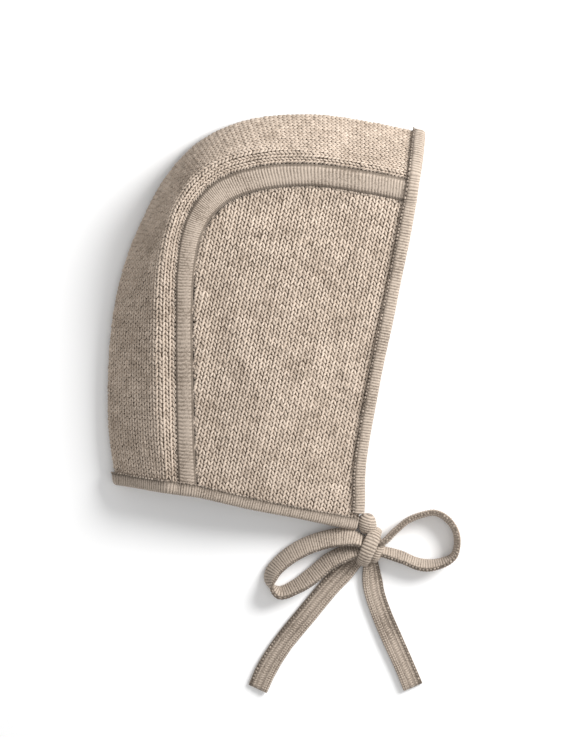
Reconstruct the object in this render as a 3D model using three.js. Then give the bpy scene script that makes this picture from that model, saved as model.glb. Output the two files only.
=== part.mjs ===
// A knitted baby bonnet with a bow, lying on its side. Millimetres, +Z up.
//
// The bonnet is two side panels joined by one long centre panel that runs from the forehead
// over the crown to the nape. A flat knitted band covers each of the two seams, a binding is
// folded over the face edge, and another over the neck edge. Laid on its side, the centre
// panel folds along its middle, the far side panel lies flat on the plane z = 0, and the near
// side panel stands over it with the hollow for the head between them.
import * as THREE from 'three';

// Gives each row of a table its columns' names.
function table(names, rows) {
  return rows.map((row) => Object.fromEntries(names.map((name, k) => [name, row[k]])));
}

// ---------------------------------------------------------------- driving sizes
const WALL = 1.8;               // thickness of every knitted wall
const GAP = 0.5;                // clearance between neighbouring pieces
const FOLD_RADIUS = 3.5;        // of the centre panel's middle, where it folds under
const FAR_REACH = 32;           // from the fold to the far seam, along the floor
const CROWN_TUCK = 4.5;         // and by how much less at the crown, where the panel gathers
const FAR_BAND = 8.5;           // width of the far seam band
const BAND_CROWN = 0.7;         // how far the near seam band bulges outwards
const SLOPE_SWELL = 1.1;        // how far the centre panel bulges between ridge and fold
const PANEL_SWELL = 4.0;        // how far the near side panel bulges
const SWELL_LOWNESS = 0.65;     // under 1, the bulge is fullest below the middle
const SEAM_SINK = 2.4;          // how far that panel drops just inside the seam band
const SINK_WIDTH = 11;          // and over what width
const BINDING = { lip: 3.4, edge: 2.4, half: 2.3, slot: WALL / 2 + 0.4, bight: 0.3 };
const EDGE_LIFT = BINDING.half - WALL / 2;  // far walls rise at their bound edges by this
const LIFT_FROM = 4;
const LIFT_TO = 15;
const CORNER = { x: 39.8, y: -90.1, z: 7.5 };  // near front corner, where the ties start
const FAR_CORNER_SHIFT = 0.9;   // the far corner looks out from under the near one
const FACE_BINDING_TRIM = 5.3;  // the face binding stops this far above the corner

// Cells along the seam. The side panels are four-sided patches, with the crown as a corner.
const TOP_CELLS = 12;
const BACK_CELLS = 16;
const SEAM_CELLS = TOP_CELLS + BACK_CELLS;
const BAND_CELLS = 2;
// Share of the way from the seam to the fold, and from the fold to the far seam.
const NEAR_STEPS = [0, 0.1, 0.2, 0.32, 0.46, 0.6, 0.74, 0.86, 0.94, 1];
const FAR_STEPS = [0.07, 0.14, 0.22, 0.34, 0.5, 0.66, 0.83, 1];

// Sections across the centre panel, from the forehead over the crown to the nape.
//   edgeX, edgeY  the bonnet's outline, just outside the panel's fold
//   seamX, seamY  its near seam, at the outer edge of the seam band
//   strip         width of the level strip beside the seam, up to the ridge
//   top           height of the ridge
//   crease        how far the seam lies below the ridge
//   band          width of the near seam band
//   fall          height that the band loses towards the side panel, or gains if negative
const SECTIONS = table(['edgeX', 'edgeY', 'seamX', 'seamY', 'strip', 'top', 'crease', 'band', 'fall'], [
  [68.4, 84.8, 65.3, 62.6, 2.0, 22.0, 0.2, 10.0, 2.2],
  [45.7, 89.5, 44.8, 66.6, 2.5, 24.6, 0.3, 10.0, 3.2],
  [19.5, 92.8, 20.4, 69.7, 4.0, 27.4, 0.6, 9.8, 3.6],
  [-8.4, 90.4, -2.2, 68.8, 7.0, 28.6, 1.2, 10.6, 3.4],
  [-29.7, 81.0, -20.0, 63.5, 7.0, 29.0, 1.5, 11.0, 2.8],
  [-45.3, 64.8, -31.1, 53.7, 6.5, 29.0, 1.6, 10.4, 2.2],
  [-55.9, 45.3, -37.3, 40.4, 6.2, 28.4, 1.6, 9.2, 0.6],
  [-63.9, 25.0, -40.0, 23.1, 7.2, 27.2, 1.5, 8.5, -0.4],
  [-69.0, 1.8, -40.4, 1.8, 8.0, 26.0, 1.3, 8.0, -1.1],
  [-71.0, -25.0, -40.4, -25.6, 8.0, 25.0, 1.2, 8.3, -1.3],
  [-70.6, -49.0, -40.0, -51.6, 7.0, 23.6, 1.0, 8.5, -1.2],
  [-67.6, -69.9, -39.3, -74.0, 5.0, 21.4, 0.6, 8.9, -0.8],
]);
// Cut edges of the near side panel, between its seam and the front corner.
const FACE_EDGE = [[57.1, 17.8], [50.4, -14.2], [44.2, -46.2], [41.3, -67.5], [41.0, -83.0]];
const NECK_EDGE = [[-14.5, -78.9], [2.2, -82.4]];

// The ties are one flat knitted tape. Each row of a route is a point on its middle line, and
// the sideways part of the direction that points across the tape to its upper edge.
const TAPE = { width: 9, thickness: 2.6, neck: 0.7, neckLength: 13 };
const ROUTE = ['x', 'y', 'z', 'leanX', 'leanY'];
const LEFT_LOOP = table(ROUTE, [
  [40.2, -96.6, 8.6, 0.00, -0.80],
  [33.1, -95.6, 8.0, -0.05, -0.85],
  [23.9, -97.4, 6.8, -0.05, -0.85],
  [14.7, -101.1, 5.6, 0.10, -0.80],
  [6.9, -106.5, 4.8, 0.35, -0.60],
  [2.2, -112.1, 4.8, 0.50, -0.35],
  [1.8, -117.0, 5.0, 0.30, -0.35],
  [5.8, -120.4, 5.0, 0.05, -0.50],
  [13.3, -117.6, 4.8, 0.30, -0.50],
  [20.4, -112.8, 4.8, 0.40, -0.60],
  [27.5, -106.8, 5.2, 0.40, -0.60],
  [34.6, -103.2, 5.8, 0.30, -0.65],
  [39.4, -101.9, 6.2, 0.20, -0.70],
]);
const RIGHT_LOOP = table(ROUTE, [
  [51.8, -98.0, 7.2, 0.00, 0.00],
  [56.8, -93.2, 6.2, 0.00, 0.00],
  [62.9, -88.2, 5.4, 0.00, 0.05],
  [68.9, -85.8, 5.0, 0.00, 0.05],
  [74.9, -84.9, 5.0, 0.00, 0.05],
  [80.2, -87.6, 5.0, 0.05, 0.05],
  [83.9, -92.7, 5.0, 0.05, 0.00],
  [84.8, -98.3, 5.0, 0.05, 0.00],
  [83.2, -104.1, 5.0, 0.05, -0.10],
  [78.8, -106.9, 5.0, 0.05, -0.25],
  [72.1, -108.3, 4.9, 0.00, -0.40],
  [67.0, -107.6, 4.9, 0.10, -0.45],
  [60.0, -104.7, 5.1, 0.15, -0.50],
  [52.4, -102.4, 5.8, 0.15, -0.50],
]);
const LEFT_TAIL = table(ROUTE, [
  [38.6, -107.0, 2.4, 0.70, -0.66],
  [34.2, -111.4, 1.7, 0.72, -0.68],
  [27.5, -118.5, 1.5, 0.72, -0.68],
  [17.5, -130.5, 1.5, 0.76, -0.64],
  [7.5, -142.7, 1.5, 0.79, -0.60],
  [0.0, -154.4, 1.5, 0.84, -0.53],
  [-4.2, -163.6, 1.5, 0.88, -0.46],
]);
const RIGHT_TAIL = table(ROUTE, [
  [46.4, -109.4, 2.4, -0.98, 0.05],
  [46.8, -114.0, 1.7, -0.98, -0.05],
  [48.0, -121.0, 1.5, -0.98, -0.16],
  [51.5, -131.2, 1.5, -0.93, -0.36],
  [56.3, -142.3, 1.5, -0.91, -0.40],
  [61.2, -153.2, 1.5, -0.91, -0.40],
  [65.2, -162.8, 1.5, -0.92, -0.38],
]);
// Knots as rounded lumps: centre, half sizes and turn about the vertical.
const CORNER_KNOT = { at: [45.0, -89.4, 6.3], half: [3.9, 4.2, 4.6], turn: 0 };
const BOW_KNOT = { at: [46.2, -101.2, 6.4], half: [3.9, 6.9, 5.6], turn: -0.42 };

// ---------------------------------------------------------------- small helpers
const { lerp, smoothstep, clamp } = THREE.MathUtils;

// A curve through three columns of the section table.
function columns(a, b, c) {
  const rows = SECTIONS.map((row) => new THREE.Vector3(row[a], row[b], row[c] ?? 0));
  return new THREE.CatmullRomCurve3(rows, false, 'catmullrom', 0.5);
}
const outline = columns('edgeX', 'edgeY');
const seamLine = columns('seamX', 'seamY');
const ridgeShape = columns('strip', 'top', 'crease');
const bandShape = columns('band', 'fall');

// The section at a share s of the way along the seam: where it stands and what it measures.
function sectionAt(s) {
  const edge = outline.getPoint(s);
  const seam = seamLine.getPoint(s);
  const inward = seam.clone().sub(edge).normalize();
  const fold = edge.addScaledVector(inward, WALL / 2);
  const ridge = ridgeShape.getPoint(s);
  const band = bandShape.getPoint(s);
  return {
    fold, seam, inward,
    reach: seam.distanceTo(fold),
    farReach: FAR_REACH - CROWN_TUCK * Math.sin(Math.PI * s) ** 4,
    strip: ridge.x,
    top: ridge.y,
    seamHeight: ridge.y - ridge.z,
    band: band.x,
    fall: band.y,
  };
}

// Point of a section, a distance inward of its fold, at a height.
function onSection(section, inwardOfFold, height) {
  const point = section.fold.clone().addScaledVector(section.inward, inwardOfFold);
  point.z = height;
  return point;
}

// ---------------------------------------------------------------- the cut edges
function edgeCurve(from, between, to) {
  const points = [from, ...between.map(([x, y]) => new THREE.Vector3(x, y, 0)), to];
  return new THREE.CatmullRomCurve3(points, false, 'centripetal');
}
const cornerPoint = (shift = 0) => new THREE.Vector3(CORNER.x + shift, CORNER.y, 0);

// Plan distance from a point to a polyline of sample points.
function planDistance(samples, point) {
  return Math.min(...samples.map((sample) => Math.hypot(sample.x - point.x, sample.y - point.y)));
}

// ---------------------------------------------------------------- the near and far layers
// A point across the near seam band, a distance inward of its outer edge.
function nearBandPoint(s, across) {
  const section = sectionAt(s);
  const share = across / section.band;
  const bulge = BAND_CROWN * Math.sin(Math.PI * share);
  return onSection(section, section.reach + across, section.seamHeight - section.fall * share ** 2 + bulge);
}
// The same across the far band, which lies on the floor.
function farBandPoint(s, across) {
  const section = sectionAt(s);
  return lifted(onSection(section, section.farReach + across, WALL / 2));
}

// The plan of a side panel: its inner seam line, its two cut edges and where its crown is.
function sidePlan(innerEdge, cornerShift) {
  const flat = (s) => innerEdge(s).setZ(0);
  const corner = cornerPoint(cornerShift);
  const face = edgeCurve(corner, [...FACE_EDGE].reverse(), flat(0));
  const neck = edgeCurve(flat(1), NECK_EDGE, corner);
  const crown = TOP_CELLS / SEAM_CELLS;
  return { flat, corner, face, neck, crown };
}
const nearInner = (s) => nearBandPoint(s, sectionAt(s).band + GAP / 2);
const nearPlan = sidePlan(nearInner, 0);
const farPlan = sidePlan((s) => {
  const section = sectionAt(s);
  return onSection(section, section.farReach + FAR_BAND + GAP / 2, 0);
}, FAR_CORNER_SHIFT);

// Bound edges of the far layer, as samples: face edge, neck edge and the centre panel's ends.
const EDGE_SAMPLES = 60;
const forehead = sectionAt(0);
const nape = sectionAt(1);
const farEdgeSamples = [
  ...farPlan.face.getSpacedPoints(EDGE_SAMPLES),
  ...farPlan.neck.getSpacedPoints(EDGE_SAMPLES),
  ...new THREE.LineCurve3(forehead.fold, farPlan.flat(0)).getSpacedPoints(EDGE_SAMPLES),
  ...new THREE.LineCurve3(nape.fold, farPlan.flat(1)).getSpacedPoints(EDGE_SAMPLES),
];
// Near a bound edge the far layer rises, because the binding under it is thicker than a wall.
function lifted(point) {
  const lowness = 1 - clamp((point.z - WALL / 2) / (2 * FOLD_RADIUS), 0, 1);
  const nearness = 1 - smoothstep(planDistance(farEdgeSamples, point), LIFT_FROM, LIFT_TO);
  point.z += EDGE_LIFT * nearness * lowness;
  return point;
}

// The centre panel's profile at s: seam, ridge, slope and fold, then back along the floor.
function centreProfile(s) {
  const section = sectionAt(s);
  const { reach, farReach, strip, top, seamHeight } = section;
  const hub = new THREE.Vector2(reach - FOLD_RADIUS, WALL / 2 + FOLD_RADIUS);
  const ridge = new THREE.Vector2(strip, top);
  const toRidge = ridge.clone().sub(hub);
  const tangentAngle = toRidge.angle() - Math.acos(FOLD_RADIUS / toRidge.length());
  const toward = (angle) => new THREE.Vector2(Math.cos(angle), Math.sin(angle));
  const arc = (angle) => hub.clone().addScaledVector(toward(angle), FOLD_RADIUS);
  const touch = arc(tangentAngle);
  const slope = (share) => {
    const swell = SLOPE_SWELL * Math.sin(Math.PI * share);
    return ridge.clone().lerp(touch, share).addScaledVector(toward(tangentAngle), swell);
  };
  const near = new THREE.SplineCurve([
    new THREE.Vector2(GAP / 2, seamHeight),
    new THREE.Vector2(strip * 0.5, lerp(seamHeight, top, 0.65)),
    ridge,
    slope(0.3),
    slope(0.65),
    touch,
    arc(tangentAngle / 2),
    arc(0),
  ]);
  const far = new THREE.SplineCurve([
    arc(0),
    arc(-Math.PI / 4),
    arc(-Math.PI / 2),
    new THREE.Vector2(lerp(reach - FOLD_RADIUS, reach - farReach, 0.4), WALL / 2),
    new THREE.Vector2(reach - farReach + GAP / 2, WALL / 2),
  ]);
  const place = (curve, share) => {
    const { x, y } = curve.getPointAt(share);
    return onSection(section, reach - x, y);
  };
  const nearPoints = NEAR_STEPS.map((share) => place(near, share));
  const farPoints = FAR_STEPS.map((share) => place(far, share));
  return [...nearPoints, ...farPoints].map(lifted);
}

const shares = (count) => Array.from({ length: count + 1 }, (_, i) => i / count);
// A grid of points: grid[i][j], i along the first direction and j along the second.
function grid(cellsAcross, cellsAlong, pointAt) {
  return shares(cellsAcross).map((a) => shares(cellsAlong).map((b) => pointAt(a, b)));
}

// Four-sided patch for a side panel: u runs from the back seam to the face edge, v from the
// neck edge up to the top seam.
function sideGrid(plan, heightAt, innerHeight) {
  const seamAtTop = (u) => lerp(plan.crown, 0, u);
  const seamAtBack = (v) => lerp(1, plan.crown, v);
  const withHeight = (point, z) => new THREE.Vector3(point.x, point.y, z);
  const faceShare = (v) => Math.sin((v * Math.PI) / 2);
  const top = (u) => withHeight(plan.flat(seamAtTop(u)), innerHeight(seamAtTop(u)));
  const back = (v) => withHeight(plan.flat(seamAtBack(v)), innerHeight(seamAtBack(v)));
  const cornerHeight = heightAt.corner;
  const rise = (s, share) => lerp(cornerHeight, innerHeight(s), faceShare(share));
  const face = (v) => withHeight(plan.face.getPointAt(v), rise(0, v));
  const neck = (u) => withHeight(plan.neck.getPointAt(u), rise(1, 1 - u));
  return grid(TOP_CELLS, BACK_CELLS, (u, v) => {
    const point = new THREE.Vector3();
    point.addScaledVector(neck(u), 1 - v).addScaledVector(top(u), v);
    point.addScaledVector(back(v), 1 - u).addScaledVector(face(v), u);
    point.addScaledVector(neck(0), -(1 - u) * (1 - v)).addScaledVector(neck(1), -u * (1 - v));
    point.addScaledVector(top(0), -(1 - u) * v).addScaledVector(top(1), -u * v);
    return heightAt.adjust(point, u, v);
  });
}

const nearSeamSamples = shares(2 * EDGE_SAMPLES).map(nearInner);
const nearSideGrid = sideGrid(nearPlan, {
  corner: CORNER.z,
  adjust: (point, u, v) => {
    const sink = smoothstep(planDistance(nearSeamSamples, point), 0, SINK_WIDTH);
    const inside = Math.sin(Math.PI * u) * Math.sin(Math.PI * v ** SWELL_LOWNESS);
    const edgeFree = Math.min(1, 4 * (1 - u)) * Math.min(1, 4 * v);
    point.z += PANEL_SWELL * inside - SEAM_SINK * sink * edgeFree * (1 - 0.6 * inside);
    return point;
  },
}, (s) => nearInner(s).z);
const farSideGrid = sideGrid(farPlan, {
  corner: WALL / 2,
  adjust: lifted,
}, () => WALL / 2);

const nearBandGrid = grid(BAND_CELLS, SEAM_CELLS, (q, s) => (
  nearBandPoint(s, lerp(GAP / 2, sectionAt(s).band - GAP / 2, q))
));
const farBandGrid = grid(BAND_CELLS, SEAM_CELLS, (q, s) => (
  farBandPoint(s, lerp(GAP / 2, FAR_BAND - GAP / 2, q))
));
const centreRows = shares(SEAM_CELLS).map(centreProfile);
const centreGrid = centreRows[0].map((_, i) => centreRows.map((row) => row[i]));

// ---------------------------------------------------------------- solids
// Bends a straight solid: placeAt gives the new point for each corner. What would reach below
// the floor is pressed flat on it.
function bend(geometry, placeAt) {
  const position = geometry.attributes.position;
  for (let k = 0; k < position.count; k += 1) {
    const point = placeAt(position.getX(k), position.getY(k), position.getZ(k));
    position.setXYZ(k, point.x, point.y, Math.max(point.z, 0));
  }
  geometry.computeVertexNormals();
  return geometry;
}

// Direction that points out of the surface at a grid point.
function gridNormal(points, i, j) {
  const last = [points.length - 1, points[0].length - 1];
  const pick = (a, b) => points[clamp(a, 0, last[0])][clamp(b, 0, last[1])];
  const across = pick(i + 1, j).clone().sub(pick(i - 1, j));
  const along = pick(i, j + 1).clone().sub(pick(i, j - 1));
  return across.cross(along).normalize();
}

// A knitted wall: a thin box with one cell for each cell of the grid, bent so that its middle
// follows the grid.
function wall(points) {
  const across = points.length - 1;
  const along = points[0].length - 1;
  return bend(new THREE.BoxGeometry(across, along, 1, across, along, 1), (x, y, z) => {
    const i = Math.round(x + across / 2);
    const j = Math.round(y + along / 2);
    return points[i][j].clone().addScaledVector(gridNormal(points, i, j), z * WALL);
  });
}

// A binding folded over a cut edge: a channel whose slot holds the walls' edge. Stations are
// pairs of an edge point and the wall point next to it.
function binding(stations) {
  const { lip, edge, half, slot, bight } = BINDING;
  const round = 0.4;
  const profile = new THREE.Shape([
    [-lip, slot], [bight, slot], [bight, -slot], [-lip, -slot],
    [-lip, -half + round], [-lip + round, -half], [edge * 0.45, -half], [edge * 0.88, -half * 0.6],
    [edge, 0],
    [edge * 0.88, half * 0.6], [edge * 0.45, half], [-lip + round, half], [-lip, half - round],
  ].map(([d, n]) => new THREE.Vector2(d, n)));
  const steps = stations.length - 1;
  const geometry = new THREE.ExtrudeGeometry(profile, { steps, depth: steps, bevelEnabled: false });
  const frames = stations.map(({ at, inside }, k) => {
    const before = stations[Math.max(k - 1, 0)].at;
    const after = stations[Math.min(k + 1, steps)].at;
    const tangent = after.clone().sub(before).normalize();
    const outward = at.clone().sub(inside);
    outward.addScaledVector(tangent, -outward.dot(tangent)).normalize();
    return { at, outward, normal: tangent.clone().cross(outward) };
  });
  return bend(geometry, (x, y, z) => {
    const frame = frames[Math.round(z)];
    return frame.at.clone().addScaledVector(frame.outward, x).addScaledVector(frame.normal, y);
  });
}

// Stations along one side of a grid. side is 'first' or 'last' along the second index.
function endStations(points, side) {
  const last = points[0].length - 1;
  const [edgeIndex, insideIndex] = side === 'first' ? [0, 1] : [last, last - 1];
  return points.map((row) => ({ at: row[edgeIndex], inside: row[insideIndex] }));
}
// Two pieces of one layer that meet at a gap share the station in the middle of it.
function joinStations(...runs) {
  return runs.reduce((joined, run) => {
    const before = joined[joined.length - 1];
    const after = run[0];
    const middle = {
      at: before.at.clone().lerp(after.at, 0.5),
      inside: before.inside.clone().lerp(after.inside, 0.5),
    };
    return [...joined.slice(0, -1), middle, ...run.slice(1)];
  });
}
function trimStart(stations, length) {
  const [first, second, ...others] = stations;
  const share = length / first.at.distanceTo(second.at);
  const moved = {
    at: first.at.clone().lerp(second.at, share),
    inside: first.inside.clone().lerp(second.inside, share),
  };
  return [moved, second, ...others];
}

const swapped = (points) => points[0].map((_, j) => points.map((row) => row[j]));
const reversed = (stations) => [...stations].reverse();
// Face edge, from the near corner over the forehead to the far corner.
const faceStations = joinStations(
  trimStart(endStations(swapped(nearSideGrid), 'last'), FACE_BINDING_TRIM),
  reversed(endStations(nearBandGrid, 'first')),
  endStations(centreGrid, 'first'),
  endStations(farBandGrid, 'first'),
  reversed(trimStart(endStations(swapped(farSideGrid), 'last'), FACE_BINDING_TRIM)),
);
// Neck edge, from the near corner round the nape to the far corner.
const neckStations = joinStations(
  reversed(endStations(nearSideGrid, 'first')),
  reversed(endStations(nearBandGrid, 'last')),
  endStations(centreGrid, 'last'),
  endStations(farBandGrid, 'last'),
  endStations(farSideGrid, 'first'),
);

// A tape along a route: a flat bar bent to the route, narrower where a knot grips it, which
// is at its start and, on a loop, at its end too.
function tape(route, { steps, gripEnd }) {
  const smooth = (points) => new THREE.CatmullRomCurve3(points, false, 'centripetal');
  const line = smooth(route.map(({ x, y, z }) => new THREE.Vector3(x, y, z)));
  const lean = smooth(route.map(({ leanX, leanY }) => new THREE.Vector3(leanX, leanY, 0)));
  const { width, thickness, neck, neckLength } = TAPE;
  const round = thickness * 0.3;
  const [a, b] = [width / 2, thickness / 2];
  const profile = new THREE.Shape([
    [-a, -b + round], [-a + round, -b], [0, -b], [a - round, -b], [a, -b + round],
    [a, b - round], [a - round, b], [0, b], [-a + round, b], [-a, b - round],
  ].map(([x, y]) => new THREE.Vector2(x, y)));
  const geometry = new THREE.ExtrudeGeometry(profile, { steps, depth: steps, bevelEnabled: false });
  const length = line.getLength();
  return bend(geometry, (x, y, z) => {
    const share = z / steps;
    const tangent = line.getTangentAt(share);
    const { x: leanX, y: leanY } = lean.getPoint(line.getUtoTmapping(share));
    const rise = Math.sqrt(Math.max(0, 1 - leanX ** 2 - leanY ** 2));
    const across = new THREE.Vector3(leanX, leanY, rise);
    across.addScaledVector(tangent, -across.dot(tangent)).normalize();
    const face = tangent.clone().cross(across);
    const fromKnot = Math.min(share * length, gripEnd ? (1 - share) * length : length);
    const squeeze = lerp(neck, 1, smoothstep(fromKnot, 0, neckLength));
    return line.getPointAt(share).addScaledVector(across, x * squeeze).addScaledVector(face, y);
  });
}

function knot({ at, half, turn }) {
  const geometry = new THREE.SphereGeometry(1, 14, 10);
  geometry.scale(...half);
  geometry.rotateZ(turn);
  geometry.translate(...at);
  return geometry;
}

// ---------------------------------------------------------------- the bonnet
const yarn = {
  panel: new THREE.MeshStandardMaterial({ color: 0xb9a48f, roughness: 0.95, metalness: 0 }),
  band: new THREE.MeshStandardMaterial({ color: 0xae9b88, roughness: 0.92, metalness: 0 }),
  tie: new THREE.MeshStandardMaterial({ color: 0xb6a28e, roughness: 0.92, metalness: 0 }),
};
const bonnet = new THREE.Group();
function add(name, geometry, material) {
  const mesh = new THREE.Mesh(geometry, material);
  mesh.name = name;
  bonnet.add(mesh);
}

add('side_panel_near', wall(nearSideGrid), yarn.panel);
add('side_panel_far', wall(farSideGrid), yarn.panel);
add('centre_panel', wall(centreGrid), yarn.panel);
add('seam_band_near', wall(nearBandGrid), yarn.band);
add('seam_band_far', wall(farBandGrid), yarn.band);
add('face_binding', binding(faceStations), yarn.band);
add('neck_binding', binding(neckStations), yarn.band);
add('corner_knot', knot(CORNER_KNOT), yarn.tie);
add('bow_knot', knot(BOW_KNOT), yarn.tie);
add('bow_loop_left', tape(LEFT_LOOP, { steps: 26, gripEnd: true }), yarn.tie);
add('bow_loop_right', tape(RIGHT_LOOP, { steps: 26, gripEnd: true }), yarn.tie);
add('tie_tail_left', tape(LEFT_TAIL, { steps: 9, gripEnd: false }), yarn.tie);
add('tie_tail_right', tape(RIGHT_TAIL, { steps: 8, gripEnd: false }), yarn.tie);

export default bonnet;
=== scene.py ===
# A knitted baby bonnet that lies on its side, with its ties in a bow.
#
# Each panel is a thin shell of cloth with its stitches modelled on it. The bands, bindings and ties
# are finely ribbed tubes. All follow the same sections, cut edges and tape routes as the bonnet's
# construction, in metres.
import math
from types import SimpleNamespace

import bmesh
import bpy
import numpy as np
from mathutils import Matrix, Vector
from mathutils.bvhtree import BVHTree


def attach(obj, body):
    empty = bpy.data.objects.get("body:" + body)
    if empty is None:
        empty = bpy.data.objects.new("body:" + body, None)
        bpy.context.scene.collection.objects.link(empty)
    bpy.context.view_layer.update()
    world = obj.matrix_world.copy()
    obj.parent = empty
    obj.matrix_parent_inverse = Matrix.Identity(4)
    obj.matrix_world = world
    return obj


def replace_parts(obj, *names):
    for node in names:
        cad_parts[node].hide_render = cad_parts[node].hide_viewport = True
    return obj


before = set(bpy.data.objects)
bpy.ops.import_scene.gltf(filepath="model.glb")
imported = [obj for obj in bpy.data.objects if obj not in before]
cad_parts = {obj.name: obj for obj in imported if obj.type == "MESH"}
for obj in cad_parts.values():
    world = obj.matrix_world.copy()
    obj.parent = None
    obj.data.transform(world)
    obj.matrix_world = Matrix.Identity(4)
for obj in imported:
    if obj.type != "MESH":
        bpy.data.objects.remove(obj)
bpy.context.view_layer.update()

bl_info = {
    "name": "Knitted baby bonnet",
    "version": (1, 0, 0),
    "blender": (4, 5, 0),
    "location": "3D View > Sidebar > Bonnet",
    "description": "Builds a knitted baby bonnet with bound edges and ties in a bow",
    "category": "Object",
}

MM = 0.001
SEED = 7

# ------------------------------------------------------------------ construction sizes
WALL = 1.8 * MM               # thickness of every knitted wall
GAP = 0.5 * MM                # clearance between neighbouring pieces
FOLD_RADIUS = 3.5 * MM        # of the centre panel's middle, where it folds under
FAR_REACH = 32 * MM           # from the fold to the far seam, along the floor
CROWN_TUCK = 4.5 * MM         # and by how much less at the crown
FAR_BAND = 8.5 * MM           # width of the far seam band
BAND_CROWN = 0.7 * MM         # how far the near seam band bulges outwards
SLOPE_SWELL = 1.1 * MM        # how far the centre panel bulges between ridge and fold
PANEL_SWELL = 4.0 * MM        # how far the near side panel bulges
SWELL_LOWNESS = 0.65          # under 1, the bulge is fullest below the middle
SEAM_SINK = 2.4 * MM          # how far that panel drops just inside the seam band
SINK_WIDTH = 11 * MM          # and over what width
LIP = 3.4 * MM                # how far a binding reaches in over the cloth
EDGE = 2.4 * MM               # and out past the cut edge
HALF = 2.3 * MM               # half of a binding's thickness
SLOT = 1.3 * MM               # half of the slot that holds the cloth
EDGE_LIFT = HALF - WALL / 2   # far walls rise at their bound edges by this
LIFT_FROM, LIFT_TO = 4 * MM, 15 * MM          # the rise fades out between these distances in
CORNER = np.array([39.8, -90.1, 7.5]) * MM    # near front corner, where the ties start
FAR_CORNER_SHIFT = 0.9 * MM
FACE_BINDING_TRIM = 5.3 * MM                  # the face binding stops this far from its corners
CROWN_SHARE = 12 / 28         # where along the seam the crown is
TAPE = SimpleNamespace(width=9 * MM, thickness=2.6 * MM, neck=0.7, neck_length=13 * MM)

# Sections across the centre panel, from the forehead over the crown to the nape:
#   outline x, y; seam x, y; level strip; ridge height; crease depth; band width; band fall
SECTIONS = np.array([
    [68.4, 84.8, 65.3, 62.6, 2.0, 22.0, 0.2, 10.0, 2.2],
    [45.7, 89.5, 44.8, 66.6, 2.5, 24.6, 0.3, 10.0, 3.2],
    [19.5, 92.8, 20.4, 69.7, 4.0, 27.4, 0.6, 9.8, 3.6],
    [-8.4, 90.4, -2.2, 68.8, 7.0, 28.6, 1.2, 10.6, 3.4],
    [-29.7, 81.0, -20.0, 63.5, 7.0, 29.0, 1.5, 11.0, 2.8],
    [-45.3, 64.8, -31.1, 53.7, 6.5, 29.0, 1.6, 10.4, 2.2],
    [-55.9, 45.3, -37.3, 40.4, 6.2, 28.4, 1.6, 9.2, 0.6],
    [-63.9, 25.0, -40.0, 23.1, 7.2, 27.2, 1.5, 8.5, -0.4],
    [-69.0, 1.8, -40.4, 1.8, 8.0, 26.0, 1.3, 8.0, -1.1],
    [-71.0, -25.0, -40.4, -25.6, 8.0, 25.0, 1.2, 8.3, -1.3],
    [-70.6, -49.0, -40.0, -51.6, 7.0, 23.6, 1.0, 8.5, -1.2],
    [-67.6, -69.9, -39.3, -74.0, 5.0, 21.4, 0.6, 8.9, -0.8],
]) * MM
# Cut edges of the side panel, between its seam and the front corner: x, y
FACE_EDGE = np.array([[57.1, 17.8], [50.4, -14.2], [44.2, -46.2], [41.3, -67.5], [41.0, -83.0]]) * MM
NECK_EDGE = np.array([[-14.5, -78.9], [2.2, -82.4]]) * MM

# Routes of the tapes: x, y, z, and the sideways part of the direction to the upper edge.
ROUTE_UNITS = np.array([MM, MM, MM, 1, 1])
LEFT_LOOP = np.array([
    [40.2, -96.6, 8.6, 0.00, -0.80],
    [33.1, -95.6, 8.0, -0.05, -0.85],
    [23.9, -97.4, 6.8, -0.05, -0.85],
    [14.7, -101.1, 5.6, 0.10, -0.80],
    [6.9, -106.5, 4.8, 0.35, -0.60],
    [2.2, -112.1, 4.8, 0.50, -0.35],
    [1.8, -117.0, 5.0, 0.30, -0.35],
    [5.8, -120.4, 5.0, 0.05, -0.50],
    [13.3, -117.6, 4.8, 0.30, -0.50],
    [20.4, -112.8, 4.8, 0.40, -0.60],
    [27.5, -106.8, 5.2, 0.40, -0.60],
    [34.6, -103.2, 5.8, 0.30, -0.65],
    [39.4, -101.9, 6.2, 0.20, -0.70],
]) * ROUTE_UNITS
RIGHT_LOOP = np.array([
    [51.8, -98.0, 7.2, 0.00, 0.00],
    [56.8, -93.2, 6.2, 0.00, 0.00],
    [62.9, -88.2, 5.4, 0.00, 0.05],
    [68.9, -85.8, 5.0, 0.00, 0.05],
    [74.9, -84.9, 5.0, 0.00, 0.05],
    [80.2, -87.6, 5.0, 0.05, 0.05],
    [83.9, -92.7, 5.0, 0.05, 0.00],
    [84.8, -98.3, 5.0, 0.05, 0.00],
    [83.2, -104.1, 5.0, 0.05, -0.10],
    [78.8, -106.9, 5.0, 0.05, -0.25],
    [72.1, -108.3, 4.9, 0.00, -0.40],
    [67.0, -107.6, 4.9, 0.10, -0.45],
    [60.0, -104.7, 5.1, 0.15, -0.50],
    [52.4, -102.4, 5.8, 0.15, -0.50],
]) * ROUTE_UNITS
LEFT_TAIL = np.array([
    [38.6, -107.0, 2.4, 0.70, -0.66],
    [34.2, -111.4, 1.7, 0.72, -0.68],
    [27.5, -118.5, 1.5, 0.72, -0.68],
    [17.5, -130.5, 1.5, 0.76, -0.64],
    [7.5, -142.7, 1.5, 0.79, -0.60],
    [0.0, -154.4, 1.5, 0.84, -0.53],
    [-4.2, -163.6, 1.5, 0.88, -0.46],
]) * ROUTE_UNITS
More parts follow.
